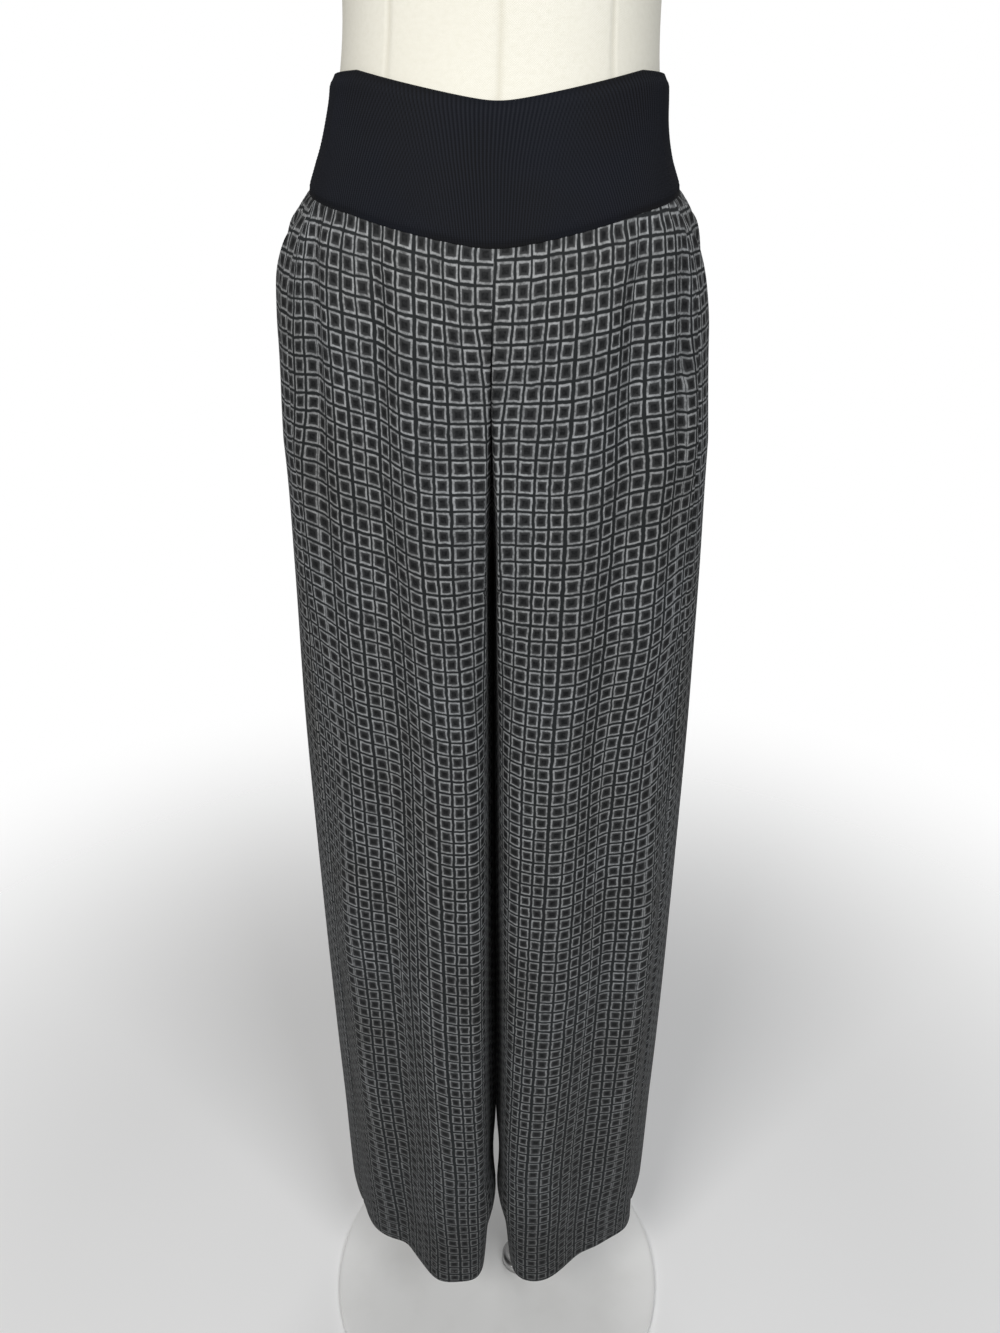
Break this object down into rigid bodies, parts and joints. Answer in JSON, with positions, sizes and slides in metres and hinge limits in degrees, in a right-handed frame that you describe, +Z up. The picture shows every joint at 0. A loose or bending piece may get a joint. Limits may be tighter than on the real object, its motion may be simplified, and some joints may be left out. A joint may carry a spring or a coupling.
{
  "type": "palazzo pants on a limbless dress form with a stand",
  "caption": "Long wide-leg trousers in a dark square-outline print, with a tall black ribbed waistband, worn by a cream limbless dress form on a pole and a round base",
  "frame": {"origin": "on the floor under the middle of the round base plate", "axes": "+Z up, the front of the trousers faces -Y, +X is the wearer's left"},
  "size_m": [0.38, 0.38, 1.7543],
  "materials": {
    "rib_knit": "black ribbed knit, matt, slightly stretched",
    "printed_cloth": "soft black plain weave with an off-white square-outline print, slight sheen",
    "form_cover": "cream cotton cover, stretched smooth, with fine seams",
    "painted_base": "white satin paint",
    "stand_metal": "brushed steel, lightly polished",
    "neck_wood": "clear satin varnish"
  },
  "bodies": {
    "root": {"waistband_front": "rib_knit", "waistband_back": "rib_knit", "front_right_leg": "printed_cloth", "back_right_leg": "printed_cloth", "front_left_leg": "printed_cloth", "back_left_leg": "printed_cloth", "dress_form": "form_cover", "base_plate": "painted_base", "pole_collar": "stand_metal", "pole": "stand_metal", "neck_cap": "neck_wood"}
  },
  "joints": []
}
